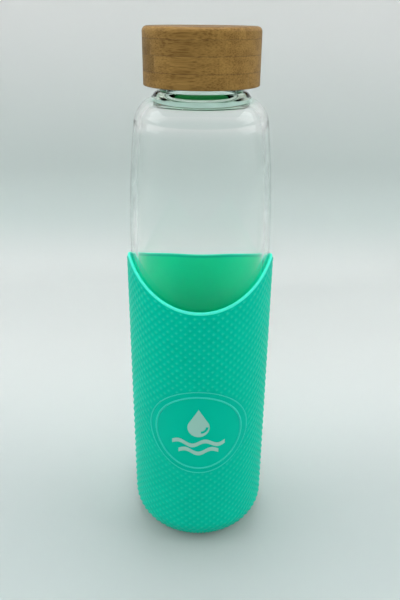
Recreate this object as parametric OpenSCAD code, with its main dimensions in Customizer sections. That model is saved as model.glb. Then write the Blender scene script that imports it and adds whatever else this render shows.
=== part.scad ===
// Glass water bottle with a silicone sleeve and a laminated bamboo screw cap.
// Origin: centre of the sleeve's underside. +Z is up and the emblem faces -Y.

/* [Sleeve] */
// Outer radius of the sleeve, over its grip bumps
sleeve_r = 34; // [33:0.1:36]
// Height of the grip bumps above the sleeve's smooth skin
bump_h = 0.5; // [0.2:0.1:0.8]
// Thickness of the sleeve's floor
sleeve_floor = 2; // [1:0.1:3]
// Radius of the sleeve's outer base corner
sleeve_corner = 14; // [6:0.5:16]
// Height of the rim at the front, its lowest point
rim_front_z = 132.8; // [100:0.1:140]
// Radius of the sideways scoop that shapes the front of the rim
rim_scoop_r = 41; // [36:0.5:60]
// Backward rise of the scoop, in degrees
rim_tilt = 2.7; // [0:0.1:5]
// Height of the rim at the sides, its highest points
rim_side_z = 148; // [140:0.1:156]
// Height of the rim at the rear, at the end of its slanted half
rim_rear_z = 136; // [130:0.1:150]

/* [Emblem] */
// Height of the emblem's centre
emblem_z = 69.9; // [50:0.1:90]
// Radius of the smooth disc, seen from the front
emblem_r = 19.6; // [15:0.1:22]
// Thickness of the printed mark
print_t = 0.12; // [0.05:0.01:0.3]

/* [Glass] */
// Outer radius of the glass body
glass_r = 32; // [31:0.1:32]
// Wall thickness of the glass
glass_wall = 3; // [2:0.1:3.4]
// Thickness of the glass base
glass_base = 5; // [3:0.5:8]
// Height where the body starts to narrow
taper_z = 150; // [120:1:170]
// Radius lost between there and the shoulder
taper_dr = 3.3; // [2:0.1:4]
// Height where the body turns into the shoulder
shoulder_z = 207.7; // [204:0.1:208]
// Radius of the shoulder's curve
shoulder_r = 12.2; // [11:0.1:12.4]
// Radius of the round bead that the shoulder runs into
bead_t = 2.3; // [1.5:0.1:2.5]
// Root radius of the threaded neck
neck_r = 17.6; // [17:0.1:18]
// Thickness of the neck's wall and lip
neck_wall = 2.4; // [2:0.1:3]

/* [Thread] */
// Rise of the thread in one turn
pitch = 4; // [3:0.5:5]
// Height of the glass thread above its root
thread_h = 1.3; // [0.8:0.1:1.4]
// Number of turns on the neck
thread_turns = 1.5; // [1:0.25:2]

/* [Cap] */
// Outer radius of the bamboo cap
cap_r = 24.2; // [23:0.1:26]
// Height of the cap's lower face
cap_z = 222.1; // [221:0.1:223]
// Height of the cap's top
cap_top = 244.6; // [243:0.1:247]
// Heights of the three glue seams between the bamboo layers
seam_z = [228.0, 234.3, 240.2];
// Radius of the bore that holds the liner
bore_r = 21; // [20.5:0.1:22]
// Rounding of the cap's top edge
cap_round = 2; // [0.5:0.1:3]
// Direction of the bamboo fibres about Z, in degrees
fibre_turn = -17; // [-90:1:90]

/* [Hidden] */

$fn = 96;
eps = 0.01;

// Sleeve and emblem
skin_r = sleeve_r - bump_h;            // smooth skin between the bumps
fit_gap = 0.3;                         // play between the sleeve and the glass
pocket_r = glass_r + fit_gap;          // inside of the sleeve
corner_r = sleeve_r - sleeve_corner;   // centre of the base corner's arcs
blank_top = 160;                       // sleeve blank before the rim is cut
rear_slant = atan((rim_side_z - rim_rear_z) / sleeve_r);

// Glass
glass_z = sleeve_floor + 0.1;          // underside of the glass, on the sleeve's floor
body_top_r = glass_r - taper_dr;       // where the shoulder starts
shoulder_lean = 8;                     // lean of the taper there
shoulder_cr = body_top_r - shoulder_r * cos(shoulder_lean);
shoulder_cz = shoulder_z - shoulder_r * sin(shoulder_lean);
bead_z = shoulder_cz + shoulder_r - 0.75;
bead_r = neck_r + 0.5;
neck_in = neck_r - neck_wall;
lip_round = neck_wall / 2;
punt_r = 18;
punt_h = 1.6;

// Thread
thread_z = 228;                        // where the neck's thread starts
liner_thread_h = 1.1;
flank_gap = 0.35;                      // play between the two threads' flanks
tooth_root = 1.9;                      // width of a tooth at its root
tooth_crest = 1.0;                     // width of a tooth at its crest

// Cap, from its uppermost seam down: the bore ends there, under the top layer
bore_top = seam_z[2];
liner_r = bore_r - 0.05;
liner_in = 19.3;
liner_z = cap_z + 0.5;
liner_top = bore_top - 0.05;
liner_roof = liner_top - 1.2;
seal_t = 1.8;
seal_r = 19.1;
seal_in = 14.5;
seal_z = liner_roof - seal_t - 0.05;
lip_z = seal_z - 0.15;

bamboo = [0.68, 0.53, 0.35];

// Points on an arc about [x, z]
function arc(x, z, r, from, to, steps) =
    [for (i = [0:steps]) let (a = from + (to - from) * i / steps) [x + r * cos(a), z + r * sin(a)]];

// Outer radius of the narrowing part of the glass at height z
function taper_r(z) = glass_r - taper_dr * pow((z - taper_z) / (shoulder_z - taper_z), 2.2);

// A helical tooth about Z: rises with the angle, fades out over its last 25 degrees
module thread(root, height, z, from, to, sunk) {
    steps = ceil((to - from) / 12);
    side = sign(height);
    function fade(a) = min(1, (a - from) / 25, (to - a) / 25);
    ring_points = [for (i = [0:steps])
        let (a = from + (to - from) * i / steps,
             crest = root - side * 0.1 + (height + side * 0.1) * fade(a),
             rise = z + pitch * a / 360)
        for (p = [[root - side * sunk, -tooth_root / 2], [crest, -tooth_crest / 2],
                  [crest, tooth_crest / 2], [root - side * sunk, tooth_root / 2]])
            [p[0] * cos(a), p[0] * sin(a), rise + p[1]]];
    walls = [for (i = [0:steps - 1], k = [0:3], half = [0, 1])
        let (a = 4 * i + k, b = 4 * i + (k + 1) % 4)
            half == 0 ? [a, b, b + 4] : [a, b + 4, a + 4]];
    last = 4 * steps;
    ends = [[0, 3, 2], [0, 2, 1], [last, last + 1, last + 2], [last, last + 2, last + 3]];
    faces = concat(walls, ends);
    polyhedron(ring_points, side > 0 ? faces : [for (f = faces) [f[2], f[1], f[0]]]);
}

// What is cut away above the rim: a sideways scoop, and a slant down to the rear
module rim_cut() {
    translate([0, -sleeve_r, rim_front_z + rim_scoop_r])
        rotate([rim_tilt, 0, 0])
            translate([0, -20, 0])
                rotate([-90, 0, 0])
                    cylinder(r = rim_scoop_r, h = 2 * sleeve_r + 50, $fn = 180);
    translate([0, 0, rim_side_z])
        rotate([-rear_slant, 0, 0])
            translate([-50, -50, 0])
                cube([100, 100, 50]);
}

// A curved layer on the sleeve's skin, from its radius outwards, on the front only
module front_layer(thickness) {
    translate([0, 0, emblem_z])
        intersection() {
            difference() {
                cylinder(r = skin_r + thickness, h = 60, center = true);
                cylinder(r = skin_r, h = 61, center = true);
            }
            translate([-sleeve_r, -2 * sleeve_r, -30]) cube([2 * sleeve_r, 2 * sleeve_r, 60]);
        }
}

module silicone_sleeve() {
    color([0.10, 0.75, 0.62])
        difference() {
            rotate_extrude()
                polygon(concat([[0, 0]],
                    arc(corner_r, sleeve_corner, sleeve_corner, -90, 0, 10),
                    [[sleeve_r, blank_top], [0, blank_top]]));
            rotate_extrude()
                polygon(concat([[0, sleeve_floor]],
                    arc(corner_r, sleeve_floor + pocket_r - corner_r, pocket_r - corner_r, -90, 0, 10),
                    [[pocket_r, blank_top + 1], [0, blank_top + 1]]));
            rim_cut();
            intersection() {
                front_layer(bump_h + 1);
                translate([0, 0, emblem_z]) rotate([90, 0, 0]) cylinder(r = emblem_r, h = 60);
            }
        }
}

// A water drop: a disc with a pointed top that leaves it at its tangents
module drop(r, tip) {
    lean = acos(r / tip);
    circle(r = r, $fn = 48);
    polygon([[0, tip], [r * sin(lean), r * cos(lean)], [0, 0], [-r * sin(lean), r * cos(lean)]]);
}

// A wavy stroke of one thickness
module wave(width, height, length, stroke) {
    steps = 32;
    function mid(i) = [-width / 2 + width * i / steps, height * sin(360 * width * i / steps / length)];
    polygon(concat([for (i = [0:steps]) mid(i) + [0, stroke / 2]],
                   [for (i = [steps:-1:0]) mid(i) - [0, stroke / 2]]));
}

// A drop over two waves, printed on the smooth disc
module emblem_print() {
    color([0.62, 0.78, 0.74])
        intersection() {
            front_layer(print_t);
            translate([0, 0, emblem_z])
                rotate([90, 0, 0])
                    linear_extrude(height = 60) {
                        translate([0, 3.4]) difference() {
                            drop(5.2, 10);
                            translate([1.1, 0.3]) intersection() {
                                difference() { circle(r = 3.6); circle(r = 2.3); }
                                translate([0, -4]) square(4);
                            }
                        }
                        translate([0, -5.6]) wave(25, 1.2, 12.5, 2.1);
                        translate([0, -10.2]) wave(19, 1.2, 12.5, 2.1);
                    }
        }
}

module glass_bottle() {
    taper = [for (i = [0:8]) taper_z + (shoulder_z - taper_z) * i / 8];
    floor_z = glass_z + glass_base;
    in_corner = glass_r - glass_wall - corner_r;
    color([0.80, 0.92, 0.90, 0.45])
        union() {
            rotate_extrude()
                polygon(concat(
                    [[0, glass_z + punt_h], [punt_r / 2, glass_z + 0.75 * punt_h], [punt_r, glass_z]],
                    arc(corner_r, glass_z + glass_r - corner_r, glass_r - corner_r, -90, 0, 8),
                    [for (z = taper) [taper_r(z), z]],
                    arc(shoulder_cr, shoulder_cz, shoulder_r, shoulder_lean + 4, 63, 8),
                    arc(bead_r, bead_z, bead_t, 12, 90, 8),
                    [[neck_r, bead_z + bead_t]],
                    arc(neck_r - lip_round, lip_z - lip_round, lip_round, 0, 180, 8),
                    [[neck_in, bead_z], [neck_in + 0.3, bead_z - 0.75], [neck_in + 1.2, bead_z - 1.2]],
                    arc(shoulder_cr, shoulder_cz, shoulder_r - glass_wall, 84, shoulder_lean + 4, 10),
                    [for (i = [8:-1:0]) [taper_r(taper[i]) - glass_wall, taper[i]]],
                    arc(corner_r, floor_z + in_corner, in_corner, 0, -90, 8),
                    [[0, floor_z + 0.4]]));
            thread(neck_r, thread_h, thread_z, 0, 360 * thread_turns, 0.5);
        }
}

module sealing_ring() {
    color([0.86, 0.88, 0.86])
        translate([0, 0, seal_z])
            difference() {
                cylinder(r = seal_r, h = seal_t);
                translate([0, 0, -1]) cylinder(r = seal_in, h = seal_t + 2);
            }
}

// Threaded cup that is glued into the bamboo
module cap_liner() {
    // the liner's teeth hang just under the neck's teeth, and start half a turn lower
    drop_z = (tooth_root + tooth_crest) / 2 + flank_gap;
    color([0.90, 0.91, 0.88])
        union() {
            difference() {
                translate([0, 0, liner_z]) cylinder(r = liner_r, h = liner_top - liner_z);
                translate([0, 0, liner_z - 1]) cylinder(r = liner_in, h = liner_roof - liner_z + 1);
                translate([0, 0, liner_z - eps]) cylinder(r1 = liner_in + 0.8, r2 = liner_in, h = 0.8);
            }
            thread(liner_in, -liner_thread_h, thread_z - drop_z, -180, 360 * thread_turns, 0.5);
        }
}

// The turned and bored cap before it is divided into its glued strips
module cap_blank() {
    difference() {
        rotate_extrude($fn = 180)
            polygon(concat([[0, cap_z], [cap_r - 0.4, cap_z], [cap_r, cap_z + 0.4]],
                arc(cap_r - cap_round, cap_top - cap_round, cap_round, 0, 90, 6),
                [[0, cap_top]]));
        translate([0, 0, cap_z - 1]) cylinder(r = bore_r, h = bore_top - cap_z + 1);
    }
}

// One bamboo strip: between two seams across the fibres, u along them, layer from the base up
module strip(layer, across, along) {
    z = concat([cap_z - 1], seam_z, [cap_top + 1]);
    color(bamboo * (1 - 0.06 * (layer % 2)))
        intersection() {
            cap_blank();
            rotate([0, 0, fibre_turn])
                translate([along[0], across[0], z[layer]])
                    cube([along[1] - along[0], across[1] - across[0], z[layer + 1] - z[layer]]);
        }
}

// Seams across each layer, from the front to the rear
reach = cap_r + 5;
whole = [-reach, reach];
left_half = [-reach, 0];
right_half = [0, reach];
base_seams = [-9.5, 10.5];
lower_seams = [-20.3, -0.3];
upper_seams = [-18.8, 1.2];
top_seams = [-12, 8];

module bamboo_base_front() { strip(0, [-reach, base_seams[0]], whole); }
module bamboo_base_left() { strip(0, base_seams, left_half); }
module bamboo_base_right() { strip(0, base_seams, right_half); }
module bamboo_base_rear() { strip(0, [base_seams[1], reach], whole); }

module bamboo_lower_front() { strip(1, [-reach, lower_seams[0]], whole); }
module bamboo_lower_left() { strip(1, lower_seams, left_half); }
module bamboo_lower_right() { strip(1, lower_seams, right_half); }
module bamboo_lower_rear() { strip(1, [lower_seams[1], reach], whole); }

module bamboo_upper_front() { strip(2, [-reach, upper_seams[0]], whole); }
module bamboo_upper_left() { strip(2, upper_seams, left_half); }
module bamboo_upper_right() { strip(2, upper_seams, right_half); }
module bamboo_upper_rear() { strip(2, [upper_seams[1], reach], whole); }

module bamboo_top_front() { strip(3, [-reach, top_seams[0]], whole); }
module bamboo_top_middle() { strip(3, top_seams, whole); }
module bamboo_top_rear() { strip(3, [top_seams[1], reach], whole); }

silicone_sleeve();
emblem_print();
glass_bottle();
sealing_ring();
cap_liner();
bamboo_base_front();
bamboo_base_left();
bamboo_base_right();
bamboo_base_rear();
bamboo_lower_front();
bamboo_lower_left();
bamboo_lower_right();
bamboo_lower_rear();
bamboo_upper_front();
bamboo_upper_left();
bamboo_upper_right();
bamboo_upper_rear();
bamboo_top_front();
bamboo_top_middle();
bamboo_top_rear();
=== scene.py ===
"""Glass water bottle with a silicone sleeve and a laminated bamboo screw cap.

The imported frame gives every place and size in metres. This script models the visible pieces
around it, gives each its finish, and sets a plain studio.
"""

import logging
import math
from collections.abc import Iterable, Iterator, Sequence
from contextlib import contextmanager
from dataclasses import dataclass, field
from enum import Enum
from typing import Any

import bpy
import numpy as np
from bpy.types import Light, Material, Node, NodeSocket, NodeTree, Object
from mathutils import Matrix, Vector


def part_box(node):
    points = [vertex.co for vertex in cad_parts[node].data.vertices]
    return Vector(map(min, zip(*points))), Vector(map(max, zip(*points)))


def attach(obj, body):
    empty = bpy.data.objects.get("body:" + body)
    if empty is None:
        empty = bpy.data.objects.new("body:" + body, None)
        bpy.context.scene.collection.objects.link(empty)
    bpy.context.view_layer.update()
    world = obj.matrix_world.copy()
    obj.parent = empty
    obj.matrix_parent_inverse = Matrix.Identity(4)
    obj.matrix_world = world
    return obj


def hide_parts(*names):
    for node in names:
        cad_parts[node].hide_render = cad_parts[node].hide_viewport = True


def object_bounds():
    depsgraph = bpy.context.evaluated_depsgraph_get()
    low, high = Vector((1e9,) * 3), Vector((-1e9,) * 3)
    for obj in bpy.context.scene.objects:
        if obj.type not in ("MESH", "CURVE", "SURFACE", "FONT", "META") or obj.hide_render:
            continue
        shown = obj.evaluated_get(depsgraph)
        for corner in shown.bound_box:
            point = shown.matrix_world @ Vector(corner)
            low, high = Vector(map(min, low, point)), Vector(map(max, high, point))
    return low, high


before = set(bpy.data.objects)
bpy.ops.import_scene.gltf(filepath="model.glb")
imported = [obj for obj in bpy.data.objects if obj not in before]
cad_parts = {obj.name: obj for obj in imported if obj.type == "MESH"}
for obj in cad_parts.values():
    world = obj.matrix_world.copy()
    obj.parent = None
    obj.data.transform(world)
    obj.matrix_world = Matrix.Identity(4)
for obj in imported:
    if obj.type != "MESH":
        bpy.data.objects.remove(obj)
CAD_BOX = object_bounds()

LOG = logging.getLogger("bottle")
MM = 0.001
TURN = 2 * math.pi
Point = tuple[float, float]
Colour = tuple[float, float, float, float]


class Facing(Enum):
    """Which way a thread's teeth stand from their root."""

    OUT = 1
    IN = -1


class LightFront(Enum):
    """What the face of a studio light looks like when it is mirrored."""

    PLAIN = "plain"
    LAMPS = "lamps"


# --- Modelling helpers ---


def arc(x: float, z: float, radius: float, start: float, end: float, steps: int) -> list[Point]:
    """Points on an arc in the profile plane.

    Args:
        x, z: The arc's centre.
        radius: Its radius.
        start, end: Its first and last angle, in degrees from the +X direction.
        steps: How many straight steps it is divided into.

    Returns:
        The points, both ends included.
    """
    turn = [math.radians(start + (end - start) * i / steps) for i in range(steps + 1)]
    return [(x + radius * math.cos(a), z + radius * math.sin(a)) for a in turn]


def start_piece(name: str) -> Object:
    """Adds a small plane at the origin as the start of a piece and returns it, alone selected."""
    bpy.ops.object.select_all(action="DESELECT")
    bpy.ops.mesh.primitive_plane_add(size=MM, location=(0, 0, 0))
    piece = bpy.context.active_object
    piece.name = name
    piece.data.name = name
    return piece


def pick(piece: Object) -> None:
    """Makes one object the active and only selected one."""
    bpy.ops.object.select_all(action="DESELECT")
    piece.select_set(True)
    bpy.context.view_layer.objects.active = piece


@contextmanager
def editing(piece: Object) -> Iterator[None]:
    """Opens one object's mesh with everything selected, and closes it again."""
    pick(piece)
    bpy.ops.object.mode_set(mode="EDIT")
    bpy.ops.mesh.select_all(action="SELECT")
    yield
    bpy.ops.object.mode_set(mode="OBJECT")


def apply(piece: Object, kind: str, **settings: Any) -> None:
    """Adds one modifier with its settings and applies it.

    Args:
        piece: The object to change.
        kind: The modifier's type, such as BEVEL.
        settings: Its properties by name.
    """
    pick(piece)
    modifier = piece.modifiers.new(kind.lower(), kind)
    for key, value in settings.items():
        setattr(modifier, key, value)
    bpy.ops.object.modifier_apply(modifier=modifier.name)


def tidy_mesh(piece: Object, sharp: float = 40.0) -> None:
    """Merges doubled points, turns the faces outwards and shades smooth up to an angle.

    Args:
        piece: The object to tidy.
        sharp: The angle in degrees past which an edge stays sharp.
    """
    with editing(piece):
        bpy.ops.mesh.remove_doubles(threshold=0.002 * MM)
        bpy.ops.mesh.normals_make_consistent(inside=False)
    bpy.ops.object.shade_smooth_by_angle(angle=math.radians(sharp))


def lathe(name: str, outline: Sequence[Point], steps: int, sharp: float = 40.0) -> Object:
    """Turns a closed outline about +Z into a solid.

    Args:
        name: The piece's name.
        outline: Radius and height of each point. It starts and ends on the axis, or it is closed
            by a last point equal to the first.
        steps: How many steps make a full turn.
        sharp: The angle in degrees past which an edge stays sharp.

    Returns:
        The finished object, at the origin.
    """
    piece = start_piece(name)
    with editing(piece):
        bpy.ops.mesh.select_mode(type="VERT")
        bpy.ops.mesh.merge(type="CENTER")
        bpy.ops.transform.translate(value=(outline[0][0], 0, outline[0][1]))
        for (r0, z0), (r1, z1) in zip(outline, outline[1:]):
            move = {"value": (r1 - r0, 0, z1 - z0)}
            bpy.ops.mesh.extrude_vertices_move(TRANSFORM_OT_translate=move)
        bpy.ops.mesh.select_all(action="SELECT")
        bpy.ops.mesh.spin(steps=steps, angle=TURN, center=(0, 0, 0), axis=(0, 0, 1))
    tidy_mesh(piece, sharp)
    return piece


def helical_tooth(
    name: str, root: float, height: float, facing: Facing, low: float, start: float, end: float
) -> Object:
    """Sweeps one thread tooth along a right-hand helix.

    Args:
        name: The piece's name.
        root: Radius of the wall that the tooth stands on.
        height: How far it stands out of that wall.
        facing: Whether it stands outwards or inwards.
        low: Height of its middle at angle 0.
        start, end: The helix's first and last angle, in degrees.

    Returns:
        The closed tooth, sunk a little into its wall and fading out at both ends.
    """
    side = facing.value
    sunk = root - side * Thread.SUNK
    section = [
        (sunk, -Thread.ROOT / 2),
        (root + side * height, -Thread.CREST / 2),
        (root + side * height, Thread.CREST / 2),
        (sunk, Thread.ROOT / 2),
    ]
    piece = start_piece(name)
    corners = sorted(piece.data.vertices, key=lambda v: math.atan2(v.co.y, v.co.x))
    begin = math.radians(start)
    rise = low + Thread.PITCH * start / 360
    for corner, (radius, up) in zip(corners, section):
        corner.co = (radius * math.cos(begin), radius * math.sin(begin), rise + up)
    with editing(piece):
        bpy.ops.mesh.delete(type="ONLY_FACE")
    steps = round((end - start) / 5)
    apply(
        piece, "SCREW", axis="Z", angle=math.radians(end - start), steps=steps,
        render_steps=steps, screw_offset=Thread.PITCH * (end - start) / 360,
    )
    for vertex in piece.data.vertices:
        radius = math.hypot(vertex.co.x, vertex.co.y)
        along = (vertex.co.z - rise) / Thread.PITCH * 360
        fade = min(1.0, max(0.0, along) / 25, max(0.0, end - start - along) / 25)
        if side * (radius - root) > 0:
            scale = (root - side * Thread.SUNK * (1 - fade) / 2 + side * height * fade) / radius
            vertex.co.x *= scale
            vertex.co.y *= scale
    with editing(piece):
        bpy.ops.mesh.fill_holes(sides=4)
    tidy_mesh(piece)
    return piece


def unite(body: Object, tool: Object) -> None:
    """Joins a tool's volume to a body's and removes the tool."""
    apply(body, "BOOLEAN", operation="UNION", solver="EXACT", object=tool)
    bpy.data.objects.remove(tool)


def dress(piece: Object, material: Material) -> None:
    """Gives a piece one material on all its faces."""
    piece.data.materials.clear()
    piece.data.materials.append(material)


def smooth_step(low: float, high: float, value: np.ndarray) -> np.ndarray:
    """A smooth ramp from 0 at low to 1 at high, for each value."""
    t = np.clip((value - low) / (high - low), 0, 1)
    return t * t * (3 - 2 * t)


# --- Shader helpers and shared effects ---


class Wiring:
    """Adds nodes to one node tree and wires them."""

    def __init__(self, tree: NodeTree) -> None:
        """Keeps the tree that the nodes go in."""
        self.tree = tree

    def add(self, kind: str, settings: dict[str, Any] | None = None, **inputs: Any) -> Node:
        """Adds a node.

        Args:
            kind: The node's type without its ShaderNode prefix.
            settings: The node's own properties by name.
            inputs: Values or output sockets for its inputs; an underscore stands for a space, and
                i0, i1 and so on name an input by its place.

        Returns:
            The node.
        """
        node = self.tree.nodes.new("ShaderNode" + kind)
        for key, value in (settings or {}).items():
            setattr(node, key, value)
        for key, value in inputs.items():
            by_place = key[0] == "i" and key[1:].isdigit()
            socket = node.inputs[int(key[1:]) if by_place else key.replace("_", " ")]
            if isinstance(value, NodeSocket):
                self.tree.links.new(value, socket)
            else:
                socket.default_value = value
        return node

    def give(self, node: Node, **sockets: NodeSocket) -> None:
        """Wires output sockets to a node's inputs; an underscore stands for a space."""
        for key, socket in sockets.items():
            self.tree.links.new(socket, node.inputs[key.replace("_", " ")])

    def math(self, operation: str, first: Any, second: Any = 0.0) -> NodeSocket:
        """Combines two numbers or sockets and returns the result's socket."""
        node = self.add("Math", {"operation": operation}, i0=first, i1=second)
        return node.outputs[0]

    def ramp(
        self, value: Any, low: float, high: float, start: float = 0.0, end: float = 1.0
    ) -> NodeSocket:
        """Maps a value smoothly from low..high to start..end and returns the result's socket."""
        node = self.add(
            "MapRange", {"interpolation_type": "SMOOTHSTEP"},
            Value=value, From_Min=low, From_Max=high, To_Min=start, To_Max=end,
        )
        return node.outputs["Result"]

    def noise(
        self, vector: Any, scale: float, detail: float = 3.0, rough: float = 0.55
    ) -> NodeSocket:
        """Adds a noise texture and returns its 0 to 1 value."""
        node = self.add(
            "TexNoise", None, Vector=vector, Scale=scale, Detail=detail, Roughness=rough
        )
        return node.outputs["Fac"]

    def mix(self, factor: Any, first: Any, second: Any) -> NodeSocket:
        """Mixes two colours and returns the result's socket."""
        node = self.add("Mix", {"data_type": "RGBA"}, i0=factor, i6=first, i7=second)
        return node.outputs[2]

    def stretch(self, vector: Any, scale: Sequence[float], turn: float = 0.0) -> NodeSocket:
        """Turns a vector about Z, in degrees, then scales it along its axes."""
        turned = self.add(
            "VectorRotate", {"rotation_type": "Z_AXIS"}, Vector=vector, Angle=math.radians(turn)
        )
        scaled = self.add(
            "VectorMath", {"operation": "MULTIPLY"}, i0=turned.outputs[0], i1=tuple(scale)
        )
        return scaled.outputs[0]


def new_group(
    name: str, inputs: dict[str, Any], outputs: dict[str, str]
) -> tuple[NodeTree, Wiring, Node, Node]:
    """Starts a shader node group with named sockets.

    Args:
        name: The group's name.
        inputs: Default value of each input by name; its type follows from the value.
        outputs: Socket type of each output by name.

    Returns:
        The group, its wiring, and its input and output nodes.
    """
    tree = bpy.data.node_groups.new(name, "ShaderNodeTree")
    for key, value in inputs.items():
        if isinstance(value, float):
            kind = "NodeSocketFloat"
        elif len(value) == 4:
            kind = "NodeSocketColor"
        else:
            kind = "NodeSocketVector"
        socket = tree.interface.new_socket(name=key, in_out="INPUT", socket_type=kind)
        socket.default_value = value
    for key, kind in outputs.items():
        tree.interface.new_socket(name=key, in_out="OUTPUT", socket_type=kind)
    source = tree.nodes.new("NodeGroupInput")
    sink = tree.nodes.new("NodeGroupOutput")
    return tree, Wiring(tree), source, sink


class Effects:
    """The node groups that several finishes share, each built once."""

    OUTPUTS = {
        "Colour": "NodeSocketColor", "Roughness": "NodeSocketFloat", "Height": "NodeSocketFloat"
    }

    def __init__(self) -> None:
        """Builds the groups."""
        self.mottle = self._mottle()
        self.bamboo = self._bamboo()

    def _mottle(self) -> NodeTree:
        """Fine unevenness: cloudy tone, roughness and a height for a bump."""
        tree, wire, source, sink = new_group(
            "fine_mottle",
            {
                "Vector": (0.0, 0.0, 0.0),
                "Colour": (0.5, 0.5, 0.5, 1.0),
                "Depth": 0.06,
                "Roughness": 0.5,
                "Spread": 0.08,
            },
            self.OUTPUTS,
        )
        broad = wire.noise(source.outputs["Vector"], 45.0, 4.0)
        fine = wire.noise(source.outputs["Vector"], 1900.0, 3.0, 0.6)
        level = wire.math("SUBTRACT", wire.math("MULTIPLY", broad, 2.0), 1.0)
        shade = wire.math("MULTIPLY_ADD", level, source.outputs["Depth"])
        shade.node.inputs[2].default_value = 1.0
        tone = wire.add("HueSaturation", None, Value=shade, Color=source.outputs["Colour"])
        swing = wire.math("SUBTRACT", wire.math("ADD", broad, fine), 1.0)
        rough = wire.math("MULTIPLY_ADD", swing, source.outputs["Spread"])
        tree.links.new(source.outputs["Roughness"], rough.node.inputs[2])
        wire.give(sink, Colour=tone.outputs["Color"], Roughness=rough, Height=fine)
        return tree

    def _bamboo(self) -> NodeTree:
        """Bamboo: long fibres whose bundles show as dots on the ends, and dark glue lines."""
        tree, wire, source, sink = new_group(
            "bamboo_grain",
            {
                "Vector": (0.0, 0.0, 0.0),
                "Shift": (0.0, 0.0, 0.0),
                "Light": (0.40, 0.25, 0.10, 1.0),
                "Dark": (0.14, 0.07, 0.02, 1.0),
                "Low Seam": 0.0,
                "High Seam": 1.0,
            },
            self.OUTPUTS,
        )
        given = source.outputs
        moved = wire.add("VectorMath", {"operation": "ADD"}, i0=given["Vector"], i1=given["Shift"])
        at = moved.outputs[0]
        turn = -BambooCap.FIBRE_TURN
        streak = wire.noise(wire.stretch(at, (90.0, 2300.0, 2300.0), turn), 1.0, 3.0, 0.6)
        band = wire.noise(wire.stretch(at, (14.0, 190.0, 330.0), turn), 1.0, 3.0)
        bundles = wire.stretch(at, (110.0, 1500.0, 1700.0), turn)
        cells = wire.add("TexVoronoi", {"feature": "F1"}, Vector=bundles, Scale=1.0, Randomness=0.8)
        dot = wire.ramp(cells.outputs["Distance"], 0.55, 0.15)
        dark = wire.math("MULTIPLY", dot, wire.ramp(band, 0.3, 0.65, 0.25, 0.6))
        dark = wire.math("ADD", dark, wire.ramp(streak, 0.36, 0.72, 0.0, 0.5))
        dark = wire.math("ADD", dark, wire.ramp(band, 0.34, 0.72, 0.0, 0.4))
        share = wire.math("MINIMUM", dark, 1.0)
        colour = wire.mix(share, given["Light"], given["Dark"])
        level = wire.add("SeparateXYZ", None, Vector=given["Vector"]).outputs["Z"]
        low = wire.math("ABSOLUTE", wire.math("SUBTRACT", level, given["Low Seam"]))
        high = wire.math("ABSOLUTE", wire.math("SUBTRACT", level, given["High Seam"]))
        near = wire.ramp(wire.math("MINIMUM", low, high), 0.3 * MM, 0.05 * MM)
        glue = wire.math("MULTIPLY", near, wire.ramp(streak, 0.3, 0.6, 0.05, 0.6))
        glued = wire.mix(glue, colour, BambooCap.GLUE)
        rough = wire.ramp(streak, 0.2, 0.8, 0.42, 0.6)
        height = wire.math("SUBTRACT", streak, wire.math("MULTIPLY", dot, 0.6))
        wire.give(sink, Colour=glued, Roughness=rough, Height=height)
        return tree


def new_material(name: str) -> tuple[Material, Wiring, Node, NodeSocket]:
    """Starts a material.

    Args:
        name: The material's name.

    Returns:
        The material, its wiring, its Principled shader and its Object coordinates.
    """
    material = bpy.data.materials.new(name)
    material.use_nodes = True
    shader = material.node_tree.nodes["Principled BSDF"]
    wire = Wiring(material.node_tree)
    place = wire.add("TexCoord").outputs["Object"]
    return material, wire, shader, place


def set_sockets(shader: Node, values: dict[str, Any]) -> None:
    """Sets plain numbers and colours on a shader's own sockets."""
    for key, value in values.items():
        shader.inputs[key].default_value = value


def feed(wire: Wiring, shader: Node, group: Node, strength: float, distance: float) -> None:
    """Feeds a shader a shared effect's colour and roughness, and its height as a bump.

    Args:
        wire: The material's wiring.
        shader: The Principled shader.
        group: The shared effect's node.
        strength: The bump's strength, 0 to 1.
        distance: The bump's height.
    """
    skin = group.outputs
    bump = wire.add("Bump", None, Strength=strength, Distance=distance, Height=skin["Height"])
    wire.give(shader, Base_Color=skin["Colour"], Roughness=skin["Roughness"])
    wire.give(shader, Normal=bump.outputs["Normal"])


@dataclass(frozen=True)
class MouldedFinish:
    """A moulded or printed skin: one colour with fine unevenness."""

    name: str
    colour: Colour
    roughness: float
    depth: float = 0.05
    spread: float = 0.10
    bump: float = 0.04
    shader: tuple[tuple[str, Any], ...] = ()

    def build(self, effects: Effects) -> Material:
        """Builds the material from the shared mottle."""
        material, wire, shader, place = new_material(self.name)
        group = wire.add(
            "Group", {"node_tree": effects.mottle}, Vector=place, Colour=self.colour,
            Depth=self.depth, Roughness=self.roughness, Spread=self.spread,
        )
        feed(wire, shader, group, self.bump, 0.1 * MM)
        set_sockets(shader, dict(self.shader))
        return material


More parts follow.
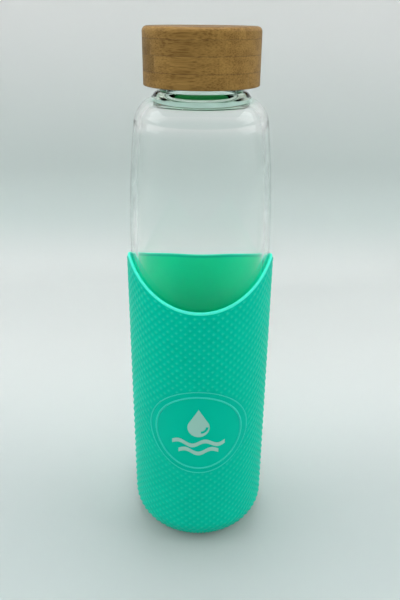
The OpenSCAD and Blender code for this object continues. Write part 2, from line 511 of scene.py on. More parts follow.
@dataclass(frozen=True)
class GlassFinish:
    """Clear soda glass: nearly colourless in its wall, green at the neck, a painted reflection at
    its root.

    The tint turns to deep between the two heights of thick, and the root's colour, a painted
    reflection, fills a ring at the heights of root_zone, outside the radii of root_edge. Shine
    dims the mirroring seen head on.
    """

    name: str = "clear_glass"
    tint: Colour = (0.996, 1.0, 0.999, 1.0)
    deep: Colour = (0.84, 0.965, 0.905, 1.0)
    thick: tuple[float, float] = (214.5 * MM, 217.5 * MM)
    depth: Colour = (0.08, 0.80, 0.52, 1.0)
    density: float = 4.0
    index: float = 1.48
    shine: float = 0.3
    ripple: float = 0.02
    # The root's colour is a painted reflection: the grey-green ring that the bead shows at its
    # root.
    root: Colour = (0.66, 0.72, 0.62, 1.0)
    root_zone: tuple[float, float] = (217.9 * MM, 219.9 * MM)
    root_edge: tuple[float, float] = (16.2 * MM, 16.8 * MM)
    root_fade: float = 0.4 * MM

    def build(self) -> Material:
        """Builds the material, which lets the light of the lamps through to what is behind it."""
        material, wire, shader, place = new_material(self.name)
        shine = (self.shine, self.shine, self.shine, 1.0)
        set_sockets(shader, {"Roughness": 0.0, "IOR": self.index, "Transmission Weight": 1.0})
        set_sockets(shader, {"Specular Tint": shine})
        height = wire.add("SeparateXYZ", None, Vector=place).outputs["Z"]
        colour = wire.mix(wire.ramp(height, *self.thick), self.tint, self.deep)
        # Painted reflection: a ring of the root's colour round the bead's root, faded at its edges.
        (low, high), fade = self.root_zone, self.root_fade
        above = wire.ramp(height, low - fade, low + fade)
        ring = wire.math("MULTIPLY", above, wire.ramp(height, high + fade, high - fade))
        flat = wire.stretch(place, (1.0, 1.0, 0.0))
        away = wire.add("VectorMath", {"operation": "LENGTH"}, i0=flat).outputs["Value"]
        ring = wire.math("MULTIPLY", ring, wire.ramp(away, *self.root_edge))
        colour = wire.mix(ring, colour, self.root)
        wave = wire.noise(wire.stretch(place, (1.0, 1.0, 0.35)), 28.0, 1.0)
        bump = wire.add("Bump", None, Strength=self.ripple, Distance=MM, Height=wave)
        rays = wire.add("LightPath").outputs
        through = wire.math("MAXIMUM", rays["Is Shadow Ray"], rays["Is Diffuse Ray"])
        clear = wire.add("BsdfTransparent", None, Color=self.tint)
        both = wire.add("MixShader", None, i0=through, i1=shader.outputs[0], i2=clear.outputs[0])
        wire.give(shader, Base_Color=colour, Normal=bump.outputs["Normal"])
        body = wire.add("VolumeAbsorption", None, Color=self.depth, Density=self.density)
        output = wire.tree.nodes["Material Output"]
        wire.give(output, Surface=both.outputs[0], Volume=body.outputs[0])
        return material


@dataclass(frozen=True)
class SiliconeFinish:
    """Dyed silicone: paler rim, bumps and ridges as painted highlights; inside painted brighter."""

    name: str = "sleeve_silicone"
    deep: Colour = (0.0, 0.505, 0.345, 1.0)
    # Painted highlight: the paler tone of the rim, the bumps and the ridges.
    pale: Colour = (0.08, 0.78, 0.62, 1.0)
    # Painted light: the inside brighter and greener, standing in for light bounced inside the
    # sleeve.
    inner: Colour = (0.0, 0.74, 0.42, 1.0)

    def build(self, effects: Effects) -> Material:
        """Builds the material from the shared mottle and the sleeve's painted light attribute."""
        material, wire, shader, place = new_material(self.name)
        grip = wire.add("Attribute", {"attribute_name": SiliconeSleeve.PAINTED_LIGHT}).outputs["Fac"]
        # The attribute mixes in painted highlights above 0 and the inside's painted light below 0.
        outside = wire.mix(wire.ramp(grip, 0.0, 1.0), self.deep, self.pale)
        colour = wire.mix(wire.ramp(grip, -0.2, -0.6), outside, self.inner)
        group = wire.add(
            "Group", {"node_tree": effects.mottle}, Vector=place, Colour=colour, Depth=0.03,
            Roughness=0.4, Spread=0.08,
        )
        feed(wire, shader, group, 0.05, 0.1 * MM)
        set_sockets(
            shader,
            {
                "IOR": 1.42,
                "Specular IOR Level": 0.08,
                "Specular Tint": (0.2, 1.0, 0.88, 1.0),
                "Subsurface Weight": 0.5,
                "Subsurface Radius": (0.15, 1.0, 0.65),
                "Subsurface Scale": 2.0 * MM,
            },
        )
        return material


@dataclass(frozen=True)
class BambooFinish:
    """One bamboo strip's finish, with its own tone and its own stretch of grain."""

    name: str
    light: Colour
    dark: Colour
    shift: tuple[float, float, float]
    seams: tuple[float, float]

    def build(self, effects: Effects) -> Material:
        """Builds the material from the shared bamboo grain."""
        material, wire, shader, place = new_material(self.name)
        group = wire.add(
            "Group", {"node_tree": effects.bamboo}, Vector=place, Shift=self.shift,
            Light=self.light, Dark=self.dark, Low_Seam=self.seams[0], High_Seam=self.seams[1],
        )
        feed(wire, shader, group, 0.25, 0.08 * MM)
        set_sockets(shader, {"Specular IOR Level": 0.15})
        return material


# --- The bottle's sub-assemblies ---


class Thread:
    """Sizes that the neck's and the liner's threads share."""

    PITCH = 4.0 * MM
    ROOT = 1.9 * MM
    CREST = 1.0 * MM
    SUNK = 0.5 * MM
    START = 228.0 * MM


@dataclass
class SiliconeSleeve:
    """The elastic sleeve: closed underneath, covered in small grip bumps, scooped at the rim.

    Its mesh is a grid of rows from the underside's middle over the rim to the inner floor. The grip
    attribute carries painted light for its finish: a painted highlight on the rim, painted brighter
    light on the inside, and between them the bumps' painted highlight times each bump's share.
    """

    bump_height: float = 0.5 * MM
    # How far the bumps take the painted highlight's pale tone.
    bump_painted_highlight: float = 0.36
    skin_depth: float = 0.5 * MM
    wall: float = 1.2 * MM
    floor: float = 2.0 * MM
    corner: float = 14.0 * MM
    bumps_round: int = 52
    bump_pitch: float = 3.8 * MM
    samples: int = 6
    rim_low: float = 132.8 * MM
    rim_side: float = 148.0 * MM
    rim_rear: float = 136.0 * MM
    scoop_radius: float = 41.0 * MM
    scoop_tilt: float = 2.7
    bare_rim: float = 1.6 * MM
    rim_soft: float = 1.1 * MM
    rim_blend: float = 0.9 * MM
    emblem_height: float = 69.9 * MM
    ridge_radii: tuple[float, float] = (20.1 * MM, 22.9 * MM)
    ridge_sizes: tuple[float, float] = (0.42 * MM, 0.26 * MM)
    # Painted highlight on the emblem's ridges.
    ridge_painted_highlight: float = 0.5
    ridge_clear: tuple[float, float] = (0.3 * MM, 0.9 * MM)
    under_clear: tuple[float, float] = (-1.48, -1.25)
    envelope: float = field(init=False)

    # The attribute that carries painted light, and its painted tones for the rim and the inside.
    PAINTED_LIGHT = "grip"
    RIM_PAINTED_HIGHLIGHT = 1.0
    RIM_BACK_PAINTED_HIGHLIGHT = 0.4
    INSIDE_PAINTED_LIGHT = -1.0

    def __post_init__(self) -> None:
        """Reads the sleeve's outer radius from the frame."""
        low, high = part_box("silicone_sleeve")
        self.envelope = (high.x - low.x) / 2

    @property
    def row_step(self) -> float:
        """Distance between two rows of the mesh on the wall."""
        return self.bump_pitch / self.samples

    @property
    def skin(self) -> float:
        """Radius of the smooth skin between the bumps."""
        return self.envelope - self.skin_depth

    def rim_height(self, turn: np.ndarray) -> np.ndarray:
        """Height of the rim at each angle, 0 at the front: the lower of two cuts, blended."""
        radius = self.skin
        x, y = radius * np.sin(turn), -radius * np.cos(turn)
        tilt = math.radians(self.scoop_tilt)
        drop = -np.sqrt(self.scoop_radius**2 - x**2) + (y + self.envelope) * math.sin(tilt)
        scoop = self.rim_low + self.scoop_radius + drop / math.cos(tilt)
        slant = self.rim_side - y * (self.rim_side - self.rim_rear) / self.envelope
        weights = [np.exp((self.rim_low - cut) / self.rim_blend) for cut in (scoop, slant)]
        return self.rim_low - self.rim_blend * np.log(weights[0] + weights[1])

    def _rows(self) -> list[tuple[str, float]]:
        """The mesh's rows from the middle of the underside, over the rim, to the inner floor.

        Returns:
            Each row's zone and its own measure there: a radius, an angle, a height or a fraction.
        """
        step = self.row_step
        flat = self.envelope - self.corner
        rows = [("under", flat * f) for f in (0.0, 0.3, 0.6, 0.85)]
        turns = math.floor(self.corner * math.pi / 2 / step)
        rows += [("corner", -math.pi / 2)]
        rows += [("corner", -step * i / self.corner) for i in range(turns - 1, 0, -1)]
        count = math.ceil((float(self.rim_height(np.array([math.pi / 2]))[0]) - self.corner) / step)
        rows += [("wall", self.corner + step * i) for i in range(count)]
        rows += [("rim", math.pi * i / 8) for i in range(9)]
        rows += [("inside", f) for f in (0.985, 0.95, 0.9, 0.75, 0.6, 0.4, 0.2, 0.0)]
        rows += [("inner corner", -math.pi / 2 * i / 5) for i in range(1, 6)]
        rows += [("inner floor", flat * f) for f in (0.6, 0.3, 0.0)]
        return rows

    def _bumps(
        self, turn: np.ndarray, along: np.ndarray, height: np.ndarray, to_rim: np.ndarray
    ) -> np.ndarray:
        """How far the grip bumps stand up at each point, as a share of their full height.

        Args:
            turn: Angle round the sleeve, 0 at the front.
            along: Distance up the profile from the base corner's top.
            height: Height above the ground.
            to_rim: Distance to the rim, square to it.

        Returns:
            The share, 0 on the rim's band and round the emblem.
        """
        lattice = np.cos(self.bumps_round * turn) * np.cos(TURN * along / self.bump_pitch)
        dome = smooth_step(0.05, 0.95, lattice)
        across = self.skin * np.sin(turn)
        from_emblem = np.where(np.cos(turn) > 0, np.hypot(across, height - self.emblem_height), 1.0)
        bare = smooth_step(self.bare_rim * 0.75, self.bare_rim * 1.25, to_rim)
        from_ridge = from_emblem - self.ridge_radii[1]
        clear = smooth_step(*self.ridge_clear, from_ridge)
        under = smooth_step(*self.under_clear, along / self.corner)
        return dome * bare * clear * under

    def _wall_row(
        self, regular: float, place: int, count: int, rim: np.ndarray, band: np.ndarray
    ) -> np.ndarray:
        """Height of one wall row: regular up to the rim's bare band, then squeezed into it.

        Args:
            regular: The row's height where nothing squeezes it.
            place: Its place among the wall's rows.
            count: How many rows the wall has.
            rim: The rim's height at each point.
            band: The band's height at each point.

        Returns:
            The height at each point.
        """
        edge = rim - self.rim_soft
        start = edge - band
        first = np.clip(np.floor((start - self.corner) / self.row_step), 0, None)
        step = np.clip((place - first) / (count - first), 0, 1)
        squeezed = start + (edge - start) * step
        return np.where(regular <= start, regular, np.maximum(squeezed, start))

    def model(self) -> Object:
        """Models the sleeve: a grid wrapped round the profile, bumps included, then the ridges."""
        rows = self._rows()
        columns, gaps = self.bumps_round * self.samples, len(rows) - 1
        bpy.ops.object.select_all(action="DESELECT")
        bpy.ops.mesh.primitive_grid_add(x_subdivisions=columns, y_subdivisions=gaps, size=2)
        piece = bpy.context.active_object
        piece.name = piece.data.name = "sleeve"
        flat = np.empty(len(piece.data.vertices) * 3)
        piece.data.vertices.foreach_get("co", flat)
        flat = flat.reshape(-1, 3)
        turn = flat[:, 0] * math.pi
        row = np.rint((flat[:, 1] + 1) / 2 * gaps).astype(int)
        radius, height, grip = np.zeros(len(row)), np.zeros(len(row)), np.zeros(len(row))
        rim = self.rim_height(turn)
        around = np.linspace(-math.pi, math.pi, 721)
        slope = np.gradient(self.rim_height(around), self.skin * TURN / 720)
        lean = np.cos(np.arctan(np.interp(turn, around, slope)))
        band = (self.bare_rim * 1.3) / lean
        walls = [i for i, (zone, _) in enumerate(rows) if zone == "wall"]
        centre = self.envelope - self.corner
        pocket = self.skin - self.wall
        inner_corner = pocket - centre
        half = self.wall / 2
        for i, (zone, value) in enumerate(rows):
            here = row == i
            if zone == "under":
                radius[here], height[here] = value, 0.0
            elif zone in ("corner", "wall"):
                if zone == "wall":
                    level = self._wall_row(value, i - walls[0], len(walls), rim[here], band[here])
                    along = level - self.corner
                else:
                    level = np.full(here.sum(), self.corner * (1 + math.sin(value)))
                    along = np.full(here.sum(), self.corner * value)
                to_rim = (rim[here] - level) * lean[here]
                share = self._bumps(turn[here], along, level, to_rim)
                # Painted highlight: the bumps paler the more they stand up.
                grip[here] = self.bump_painted_highlight * share
                bump = self.bump_height * share
                if zone == "corner":
                    settle = smooth_step(math.radians(50), math.radians(84), np.array(-value))
                    reach = self.corner - self.skin_depth * (1 - settle) + bump
                    radius[here] = centre + reach * math.cos(value)
                    height[here] = self.corner + reach * math.sin(value)
                else:
                    radius[here], height[here] = self.skin + bump, level
            elif zone == "rim":
                outer = value < math.pi / 2
                drop = self.rim_soft if outer else half
                radius[here] = self.skin - half + half * math.cos(value)
                height[here] = rim[here] - drop + drop * math.sin(value)
                # Painted highlight along the rim's top, fainter on its inner side.
                grip[here] = self.RIM_PAINTED_HIGHLIGHT if outer else self.RIM_BACK_PAINTED_HIGHLIGHT
            # The inside, its corner and its floor take painted brighter light.
            elif zone == "inside":
                low = self.floor + inner_corner
                radius[here], height[here] = pocket, low + (rim[here] - half - low) * value
                grip[here] = self.INSIDE_PAINTED_LIGHT
            elif zone == "inner corner":
                radius[here] = centre + inner_corner * math.cos(value)
                height[here] = self.floor + inner_corner * (1 + math.sin(value))
                grip[here] = self.INSIDE_PAINTED_LIGHT
            else:
                radius[here], height[here] = value, self.floor
                grip[here] = self.INSIDE_PAINTED_LIGHT
        shaped = np.column_stack([radius * np.sin(turn), -radius * np.cos(turn), height])
        piece.data.vertices.foreach_set("co", shaped.ravel())
        piece.data.attributes.new(self.PAINTED_LIGHT, "FLOAT", "POINT").data.foreach_set("value", grip)
        piece.data.update()
        tidy_mesh(piece, 180.0)
        for number, (ring, size) in enumerate(zip(self.ridge_radii, self.ridge_sizes)):
            self._join(piece, self._ridge(f"emblem_ridge_{number}", ring, size))
        return piece

    def _ridge(self, name: str, ring: float, size: float) -> Object:
        """Models one raised ring round the emblem, laid on the sleeve's skin."""
        bpy.ops.object.select_all(action="DESELECT")
        bpy.ops.mesh.primitive_torus_add(
            major_radius=ring, minor_radius=size, major_segments=160, minor_segments=10,
            rotation=(math.pi / 2, 0, 0),
        )
        piece = bpy.context.active_object
        piece.name = name
        bpy.ops.object.transform_apply(location=True, rotation=True, scale=True)
        for vertex in piece.data.vertices:
            depth = self.skin - vertex.co.y
            lean = math.asin(vertex.co.x / self.skin)
            height = vertex.co.z + self.emblem_height
            vertex.co = (depth * math.sin(lean), -depth * math.cos(lean), height)
        # Painted highlight: the ridges paler than the skin.
        tone = np.full(len(piece.data.vertices), self.ridge_painted_highlight)
        piece.data.attributes.new(self.PAINTED_LIGHT, "FLOAT", "POINT").data.foreach_set("value", tone)
        bpy.ops.object.shade_smooth()
        return piece

    @staticmethod
    def _join(body: Object, part: Object) -> None:
        """Makes a part one object with the body."""
        pick(body)
        part.select_set(True)
        bpy.ops.object.join()

    def build(self, effects: Effects) -> None:
        """Models, dresses and mounts the sleeve, and dresses the printed emblem."""
        piece = self.model()
        dress(piece, SiliconeFinish().build(effects))
        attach(piece, "sleeve")
        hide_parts("silicone_sleeve")
        ink = MouldedFinish("emblem_ink", (0.30, 0.56, 0.48, 1.0), 0.5, depth=0.06, bump=0.08)
        dress(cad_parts["emblem_print"], ink.build(effects))
        LOG.info("sleeve: %d faces", len(piece.data.polygons))


@dataclass
class GlassBottle:
    """The blown glass: thick base with a punt, narrowing body, round shoulder, bead and neck."""

    wall: float = 3.0 * MM
    base: float = 5.0 * MM
    corner: float = 12.0 * MM
    punt_radius: float = 18.0 * MM
    punt_rise: float = 1.6 * MM
    taper_start: float = 150.0 * MM
    taper_loss: float = 3.3 * MM
    taper_power: float = 2.2
    shoulder_start: float = 207.7 * MM
    shoulder: float = 12.2 * MM
    shoulder_lean: float = 8.0
    bead: float = 2.3 * MM
    neck: float = 17.6 * MM
    neck_wall: float = 2.4 * MM
    tooth: float = 1.3 * MM
    turns: float = 1.5
    bead_finish: tuple[float, float, float] = (6.6 * MM, 12.5 * MM, 3.2 * MM)
    bead_index: float = 1.15
    low: float = field(init=False)
    lip: float = field(init=False)
    body: float = field(init=False)

    def __post_init__(self) -> None:
        """Reads the glass's height and radius from the frame."""
        low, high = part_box("glass_bottle")
        self.low, self.lip, self.body = low.z, high.z, (high.x - low.x) / 2

    def taper(self, height: float) -> float:
        """Outer radius of the narrowing body at a height."""
        share = (height - self.taper_start) / (self.shoulder_start - self.taper_start)
        return self.body - self.taper_loss * share**self.taper_power

    def outline(self) -> list[Point]:
        """The glass's closed profile, up the outside and down the inside."""
        inset = self.body - self.corner
        floor = self.low + self.base
        inner_corner = self.corner - self.wall
        lean = math.radians(self.shoulder_lean)
        centre = self.taper(self.shoulder_start) - self.shoulder * math.cos(lean)
        middle = self.shoulder_start - self.shoulder * math.sin(lean)
        bead_mid = middle + self.shoulder - 0.75 * MM
        round_lip = self.neck_wall / 2
        bore = self.neck - self.neck_wall
        narrowing = self.shoulder_start - self.taper_start
        levels = [self.taper_start + narrowing * i / 14 for i in range(15)]
        waists = [self.low + self.corner + 24 * MM * i for i in range(1, 6)]
        dome = self.punt_radius**2 / (2 * self.punt_rise)
        punt = [
            (r, self.low + self.punt_rise - dome + math.sqrt(dome**2 - r**2))
            for r in (self.punt_radius * i / 6 for i in range(7))
        ]
        # The bead rolls out of the shoulder's top and back in to the neck.
        outside = [
            *punt,
            *arc(inset, self.low + self.corner, self.corner, -90, 0, 14),
            *[(self.body, z) for z in waists],
            *[(self.taper(z), z) for z in levels],
            *arc(centre, middle, self.shoulder, self.shoulder_lean + 3, 62, 16),
            (self.neck + 3.4 * MM, bead_mid - 0.02 * MM),
            *arc(self.neck + 0.5 * MM, bead_mid, self.bead, 20, 90, 12),
            (self.neck + 0.12 * MM, bead_mid + self.bead + 0.05 * MM),
            (self.neck, bead_mid + self.bead + 0.25 * MM),
            (self.neck, Thread.START),
            *arc(self.neck - round_lip, self.lip - round_lip, round_lip, 0, 180, 14),
        ]
        inside = [
            (bore, Thread.START),
            *arc(bore + 1.3 * MM, bead_mid + 0.1 * MM, 1.3 * MM, 180, 260, 8),
            *arc(centre, middle, self.shoulder - self.wall, 84, self.shoulder_lean + 3, 16),
            *[(self.taper(z) - self.wall, z) for z in reversed(levels)],
            *[(self.body - self.wall, z) for z in reversed(waists)],
            *arc(inset, floor + inner_corner, inner_corner, 0, -90, 12),
            (inset * 0.5, floor + 0.25 * MM),
            (0.0, floor + 0.4 * MM),
        ]
        return outside + inside

    def _soften_bead(self, piece: Object) -> None:
        """Gives the bead and the inner corner behind it a finish that bends light less.

        Args:
            piece: The glass. Its faces take the finish between the two heights of bead_finish above
                the shoulder's start, within bead_finish's third measure outside the neck.
        """
        piece.data.materials.append(GlassFinish("clear_glass_bead", index=self.bead_index).build())
        low, high, reach = self.bead_finish
        for face in piece.data.polygons:
            middle = face.center
            inside = math.hypot(middle.x, middle.y) < self.neck + reach
            if inside and low < middle.z - self.shoulder_start < high:
                face.material_index = 1

    def build(self) -> None:
        """Turns the glass, adds its thread, dresses it and mounts it."""
        piece = lathe("glass", self.outline(), 160, 60.0)
        tooth = helical_tooth(
            "neck_thread", self.neck, self.tooth, Facing.OUT, Thread.START, 0.0, 360 * self.turns
        )
        unite(piece, tooth)
        tidy_mesh(piece, 60.0)
        dress(piece, GlassFinish().build())
        self._soften_bead(piece)
        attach(piece, "bottle")
        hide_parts("glass_bottle")
        LOG.info("glass: %d faces", len(piece.data.polygons))


@dataclass
class CapInside:
    """What the bamboo hides: the threaded liner and the sealing ring."""

    tooth: float = 1.1 * MM
    inner: float = 19.3 * MM
    roof: float = 1.2 * MM
    mouth: float = 0.8 * MM
    flank_gap: float = 0.35 * MM
    turns: float = 1.5
    ring_width: float = 4.6 * MM

    def liner(self) -> Object:
        """Models the threaded cup."""
        low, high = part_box("cap_liner")
        outer = (high.x - low.x) / 2
        soft = 0.25 * MM
        outline = [
            (0.0, high.z),
            (outer - soft, high.z),
            (outer, high.z - soft),
            (outer, low.z + soft),
            (outer - soft, low.z),
            (self.inner + self.mouth, low.z),
            (self.inner, low.z + self.mouth),
            (self.inner, high.z - self.roof - soft),
            (self.inner - soft, high.z - self.roof),
            (0.0, high.z - self.roof),
        ]
        piece = lathe("liner", outline, 128)
        middle = Thread.START - (Thread.ROOT + Thread.CREST) / 2 - self.flank_gap
        tooth = helical_tooth(
            "liner_thread", self.inner, self.tooth, Facing.IN, middle, -180.0, 360 * self.turns
        )
        unite(piece, tooth)
        tidy_mesh(piece)
        return piece

    def ring(self) -> Object:
        """Models the washer with rounded edges."""
        low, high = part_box("sealing_ring")
        outer = (high.x - low.x) / 2
        inner = outer - self.ring_width
        soft = 0.35 * MM
        corners = [
            arc(outer - soft, high.z - soft, soft, 90, 0, 4),
            arc(outer - soft, low.z + soft, soft, 0, -90, 4),
            arc(inner + soft, low.z + soft, soft, 270, 180, 4),
            arc(inner + soft, high.z - soft, soft, 180, 90, 4),
        ]
        outline = [point for corner in corners for point in corner]
        return lathe("gasket", outline + outline[:1], 128)

    def build(self, effects: Effects) -> None:
        """Models, dresses and mounts both pieces."""
        plastic = MouldedFinish(
            "liner_plastic", (0.74, 0.76, 0.72, 1.0), 0.38, depth=0.02, bump=0.03,
            shader=(("Subsurface Weight", 0.2), ("Subsurface Scale", 1.0 * MM)),
        )
        rubber = MouldedFinish(
            "seal_silicone", (0.66, 0.70, 0.68, 1.0), 0.46, depth=0.03, bump=0.05,
            shader=(("Subsurface Weight", 0.25), ("Subsurface Scale", 1.0 * MM)),
        )
        liner, ring = self.liner(), self.ring()
        dress(liner, plastic.build(effects))
        dress(ring, rubber.build(effects))
        for piece, body, node, slot in (
            (liner, "cap", "cap_liner", "liner_plastic"),
            (ring, "seal", "sealing_ring", "seal_silicone"),
        ):
            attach(piece, body)
            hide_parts(node)
            LOG.info("%s: %d faces", piece.name, len(piece.data.polygons))


@dataclass(frozen=True)
class Strip:
    """One bamboo strip: its CAD node, and where it is cut.

    Across is measured square to the fibres and along with them, both in metres from the axis.
    """

    node: str
    across: tuple[float | None, float | None]
    along: tuple[float | None, float | None] = (None, None)
    tone: float = 1.0


@dataclass
class BambooCap:
    """The laminated cap: four glued layers of strips, turned and bored."""

    FIBRE_TURN = -17.0
    GLUE = (0.075, 0.036, 0.012, 1.0)
    bore: float = 21.0 * MM
    top_round: float = 2.0 * MM
    foot_round: float = 0.4 * MM
    seam_gap: float = 0.03 * MM
    light: tuple[float, float, float] = (0.31, 0.178, 0.049)
    dark: tuple[float, float, float] = (0.155, 0.080, 0.018)
    strips: tuple[Strip, ...] = field(init=False)

    def __post_init__(self) -> None:
        """Lists the strips from the base layer up."""
        seams = {
            "base": (-9.5 * MM, 10.5 * MM),
            "lower": (-20.3 * MM, -0.3 * MM),
            "upper": (-18.8 * MM, 1.2 * MM),
        }
        tones = iter((1.02, 0.94, 1.10, 0.98, 1.0, 0.78, 1.06, 1.0, 0.97, 0.74, 1.04, 0.95))
        found = []
        for layer, (front, rear) in seams.items():
            found += [
                Strip(f"bamboo_{layer}_front", (None, front), tone=next(tones)),
                Strip(f"bamboo_{layer}_left", (front, rear), (None, 0.0), next(tones)),
                Strip(f"bamboo_{layer}_right", (front, rear), (0.0, None), next(tones)),
                Strip(f"bamboo_{layer}_rear", (rear, None), tone=next(tones)),
            ]
        found += [
            Strip("bamboo_top_front", (None, -12 * MM), tone=1.06),
            Strip("bamboo_top_middle", (-12 * MM, 8 * MM), tone=1.0),
            Strip("bamboo_top_rear", (8 * MM, None), tone=1.1),
        ]
        self.strips = tuple(found)

    def layer_outline(self, low: float, high: float, radius: float) -> list[Point]:
        """The turned profile of one layer.

        Args:
            low, high: The layer's faces.
            radius: The cap's outer radius.

        Returns:
            A closed outline, bored through unless it is the top layer.
        """
        at_top = high > CAD_BOX[1][2] - 0.1 * MM
        at_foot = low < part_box("cap_liner")[0].z
        foot = self.foot_round if at_foot else 0.0
        outer = [(radius, low)]
        if at_foot:
            outer = arc(radius - foot, low + foot, foot, -90, 0, 4)
        if at_top:
            soft = self.top_round
            shoulder = arc(radius - soft, high - soft, soft, 0, 90, 10)
            return [(0.0, low), *outer, *shoulder, (0.0, high)]
        return [(self.bore, low), *outer, (radius, high), (self.bore, high), (self.bore, low)]

    @staticmethod
    def cut(piece: Object, distance: float, direction: Vector, keep_far: bool) -> None:
        """Cuts a piece with a vertical plane and closes the cut.

        Args:
            piece: The object to cut.
            distance: The plane's distance from the axis.
            direction: The plane's level normal.
            keep_far: Whether the side that the normal points to is kept.
        """
        with editing(piece):
            bpy.ops.mesh.bisect(
                plane_co=direction * distance, plane_no=direction, use_fill=True,
                clear_inner=keep_far, clear_outer=not keep_far, threshold=0.0001 * MM,
            )

    def model(self, strip: Strip, radius: float) -> Object:
        """Models one strip: turned, cut at its seams and eased along its edges."""
        low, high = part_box(strip.node)
        outline = self.layer_outline(low.z, high.z, radius)
        piece = lathe(strip.node.replace("bamboo_", "strip_"), outline, 144)
        turn = Matrix.Rotation(math.radians(self.FIBRE_TURN), 3, "Z")
        along, across = turn @ Vector((1, 0, 0)), turn @ Vector((0, 1, 0))
        for direction, limits in ((across, strip.across), (along, strip.along)):
            for limit, keep_far in zip(limits, (True, False)):
                if limit is not None:
                    self.cut(piece, limit, direction, keep_far)
        apply(
            piece, "BEVEL", width=self.seam_gap, segments=2, limit_method="ANGLE",
            angle_limit=math.radians(50),
        )
        tidy_mesh(piece, 35.0)
        return piece

    def build(self, effects: Effects) -> None:
        """Models, dresses and mounts every strip."""
        boxes = [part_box(strip.node) for strip in self.strips]
        radius = max(max(high.x, -low.x, high.y, -low.y) for low, high in boxes)
        for number, strip in enumerate(self.strips):
            low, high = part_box(strip.node)
            piece = self.model(strip, radius)
            finish = BambooFinish(
                piece.name + "_bamboo",
                tuple(c * strip.tone for c in self.light) + (1.0,),
                tuple(c * strip.tone for c in self.dark) + (1.0,),
                (0.037 * number, 0.011 * number, 0.023 * number),
                (low.z, high.z),
            )
            dress(piece, finish.build(effects))
            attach(piece, "cap")
            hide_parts(strip.node)
            LOG.info("%s: %d faces", piece.name, len(piece.data.polygons))


# --- Studio ---


@dataclass(frozen=True)
class Softbox:
    """One area light, aimed at a point.

    LAMPS gives, along each axis of a light that is cut to lamps, their number and the half of their
    width as a share of their spacing.
    """

    name: str
    place: tuple[float, float, float]
    size: tuple[float, float]
    power: float
    aim: tuple[float, float, float] = (0.0, 0.0, 0.15)
    front: LightFront = LightFront.PLAIN
    mirrored: bool = True

    LAMPS = (("X", 13, 0.13), ("Y", 2, 0.15))
    LAMP_EDGE = 0.03
    LAMP_STRENGTH = 14.0

    def build(self) -> None:
        """Adds the light."""
        data = bpy.data.lights.new(self.name, "AREA")
        data.shape = "RECTANGLE"
        data.size, data.size_y = self.size
        data.energy = self.power
        if self.front is LightFront.LAMPS:
            self._cut_to_lamps(data)
        lamp = bpy.data.objects.new(self.name, data)
        bpy.context.scene.collection.objects.link(lamp)
        lamp.location = self.place
        aim = Vector(self.aim) - Vector(self.place)
        lamp.rotation_euler = aim.to_track_quat("-Z", "Y").to_euler()
        lamp.visible_glossy = lamp.visible_transmission = self.mirrored

    def _cut_to_lamps(self, data: Light) -> None:
        """Divides the light's face into two rows of small lamps."""
        data.use_nodes = True
        wire = Wiring(data.node_tree)
        face = wire.add("NewGeometry").outputs["Parametric"]
        place = wire.add("SeparateXYZ", None, Vector=face)
        shares = []
        for axis, count, width in self.LAMPS:
            cell = wire.math("FRACT", wire.math("MULTIPLY", place.outputs[axis], float(count)))
            off = wire.math("ABSOLUTE", wire.math("SUBTRACT", cell, 0.5))
            shares.append(wire.ramp(off, width + self.LAMP_EDGE, width - self.LAMP_EDGE))
        lit = wire.math("MULTIPLY", *shares)
        emission = data.node_tree.nodes["Emission"]
        wire.give(emission, Strength=wire.math("MULTIPLY", lit, self.LAMP_STRENGTH))


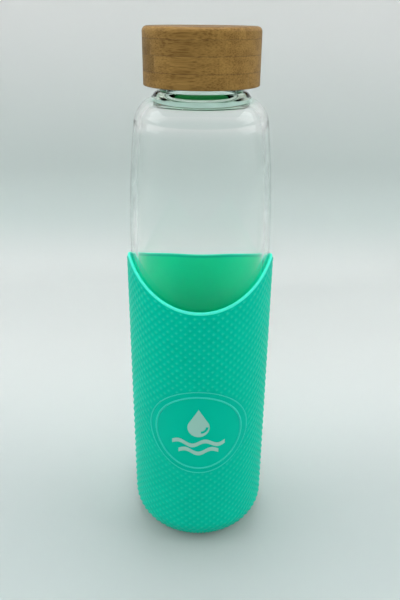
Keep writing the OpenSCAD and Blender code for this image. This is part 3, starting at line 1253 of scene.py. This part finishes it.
@dataclass
class Studio:
    """A pale sweep, soft light and the camera.

    The fades give where the paper's painted light turns from one tone to the next: along Y on the
    floor, lighter towards the wall, and along Z on the wall, darker at its foot; front_floor is a
    painted dark reflection, seen only in mirrors. Surround gives the strength on the camera's side
    and on the far side.
    """

    wall_distance: float = 0.40
    front_edge: float = -2.4
    sweep_round: float = 0.10
    half_width: float = 1.6
    wall_height: float = 0.6
    front_fade: tuple[float, float] = (-0.35, -0.22)
    floor_fade: tuple[float, float] = (-0.05, 0.20)
    corner_fade: tuple[float, float] = (0.0, 0.05)
    wall_fade: tuple[float, float] = (0.05, 0.30)
    # Painted light: the floor lighter towards the wall, the wall darker at its foot; front_floor is
    # a painted dark reflection.
    front_floor: Colour = (0.28, 0.31, 0.31, 1.0)
    near_floor: Colour = (0.415, 0.46, 0.455, 1.0)
    far_floor: Colour = (0.575, 0.60, 0.59, 1.0)
    low_wall: Colour = (0.485, 0.545, 0.53, 1.0)
    high_wall: Colour = (0.675, 0.675, 0.67, 1.0)
    air: Colour = (0.91, 0.975, 0.97, 1.0)
    surround: tuple[float, float] = (0.26, 0.64)
    surround_fade: tuple[float, float] = (-0.85, -0.10)
    eye: tuple[float, float, float] = (0.00014, -0.2722, 0.2491)
    look_down: float = 24.75
    roll: float = 0.51
    lens: float = 37.32
    lights: tuple[Softbox, ...] = (
        Softbox("left_softbox", (-0.82, 0.20, 0.70), (0.70, 0.48), 1.8),
        Softbox("right_softbox", (0.82, 0.20, 0.70), (0.70, 0.48), 1.8),
        Softbox(
            "ceiling_lamps", (0.0, 0.42, 1.25), (0.70, 1.10), 7.5, (0.0, 0.42, 0.0),
            LightFront.LAMPS,
        ),
        Softbox("front_fill", (0.0, -1.0, 0.8), (1.2, 0.8), 6.1, mirrored=False),
        Softbox("left_fill", (-0.95, -0.25, 0.8), (0.5, 0.8), 3.2, mirrored=False),
        Softbox("right_fill", (0.95, -0.25, 0.8), (0.5, 0.8), 3.2, mirrored=False),
    )

    def sweep(self) -> None:
        """Models the floor and the wall as one sheet with a round corner."""
        bpy.ops.object.select_all(action="DESELECT")
        bpy.ops.mesh.primitive_plane_add(size=2, location=(0, 0, 0))
        sheet = bpy.context.active_object
        sheet.name = "sweep"
        for vertex in sheet.data.vertices:
            vertex.co.x *= self.half_width
            vertex.co.y = self.wall_distance if vertex.co.y > 0 else self.front_edge
        for edge in sheet.data.edges:
            ends = [sheet.data.vertices[i].co for i in edge.vertices]
            edge.select = all(end.y > 0 for end in ends)
        for vertex in sheet.data.vertices:
            vertex.select = vertex.co.y > 0
        sheet.data.polygons[0].select = False
        bpy.ops.object.mode_set(mode="EDIT")
        bpy.ops.mesh.select_mode(type="EDGE")
        bpy.ops.mesh.extrude_region_move(TRANSFORM_OT_translate={"value": (0, 0, self.wall_height)})
        bpy.ops.object.mode_set(mode="OBJECT")
        apply(
            sheet, "BEVEL", width=self.sweep_round, segments=24, limit_method="ANGLE",
            angle_limit=math.radians(40),
        )
        bpy.ops.object.shade_smooth()
        dress(sheet, self.paper())

    def paper(self) -> Material:
        """Builds the pale paper, seen through from behind and dark in front when mirrored."""
        material, wire, shader, place = new_material("pale_paper")
        split = wire.add("SeparateXYZ", None, Vector=place).outputs
        # Painted light: the floor lighter towards the far end.
        far = wire.ramp(split["Y"], *self.floor_fade)
        # Painted dark reflection: the front floor dark only to mirror rays.
        mirrored = wire.add("LightPath").outputs["Is Glossy Ray"]
        front = wire.ramp(split["Y"], *self.front_fade)
        front = wire.math("MAXIMUM", front, wire.math("SUBTRACT", 1.0, mirrored))
        floor = wire.mix(far, wire.mix(front, self.front_floor, self.near_floor), self.far_floor)
        # Painted shade: the wall darker at its foot.
        wall = wire.mix(wire.ramp(split["Z"], *self.wall_fade), self.low_wall, self.high_wall)
        colour = wire.mix(wire.ramp(split["Z"], *self.corner_fade), floor, wall)
        fibre = wire.ramp(wire.noise(place, 9.0, 2.0), 0.0, 1.0, 0.99, 1.01)
        tone = wire.add("HueSaturation", None, Value=fibre, Color=colour)
        wire.give(shader, Base_Color=tone.outputs["Color"])
        set_sockets(shader, {"Roughness": 0.8, "Specular IOR Level": 0.2})
        behind = wire.add("NewGeometry").outputs["Backfacing"]
        clear = wire.add("BsdfTransparent", None, Color=(1.0, 1.0, 1.0, 1.0))
        both = wire.add("MixShader", None, i0=behind, i1=shader.outputs[0], i2=clear.outputs[0])
        wire.give(wire.tree.nodes["Material Output"], Surface=both.outputs[0])
        return material

    def camera(self) -> None:
        """Sets the camera, a little above the cap and looking down at the bottle."""
        data = bpy.data.cameras.new("camera")
        data.sensor_fit = "VERTICAL"
        data.sensor_height = 36.0
        data.sensor_width = 24.0
        data.lens = self.lens
        data.clip_start = 0.01
        camera = bpy.data.objects.new("camera", data)
        bpy.context.scene.collection.objects.link(camera)
        pitch = Matrix.Rotation(math.radians(90 - self.look_down), 4, "X")
        roll = Matrix.Rotation(math.radians(self.roll), 4, "Z")
        camera.matrix_world = Matrix.Translation(self.eye) @ pitch @ roll
        bpy.context.scene.camera = camera

    def world(self) -> None:
        """Sets a slightly cool surround, dim on the camera's side unless seen through the glass."""
        world = bpy.data.worlds.new("surround")
        world.use_nodes = True
        wire = Wiring(world.node_tree)
        place = wire.add("SeparateXYZ", None, Vector=wire.add("TexCoord").outputs["Generated"])
        behind = wire.ramp(place.outputs["Y"], *self.surround_fade, *self.surround)
        through = wire.add("LightPath").outputs["Is Transmission Ray"]
        seen = wire.math("MULTIPLY", through, self.surround[1])
        back = world.node_tree.nodes["Background"]
        set_sockets(back, {"Color": self.air})
        wire.give(back, Strength=wire.math("MAXIMUM", behind, seen))
        bpy.context.scene.world = world
        bpy.context.scene.view_settings.view_transform = "Standard"

    def build(self) -> None:
        """Builds the sweep, the lights, the surround and the camera."""
        self.sweep()
        for light in self.lights:
            light.build()
        self.world()
        self.camera()


def main() -> None:
    """Builds the bottle and its studio."""
    logging.basicConfig(level=logging.INFO, format="%(name)s: %(message)s")
    effects = Effects()
    SiliconeSleeve().build(effects)
    GlassBottle().build()
    CapInside().build(effects)
    BambooCap().build(effects)
    Studio().build()


if __name__ == "__main__":
    main()
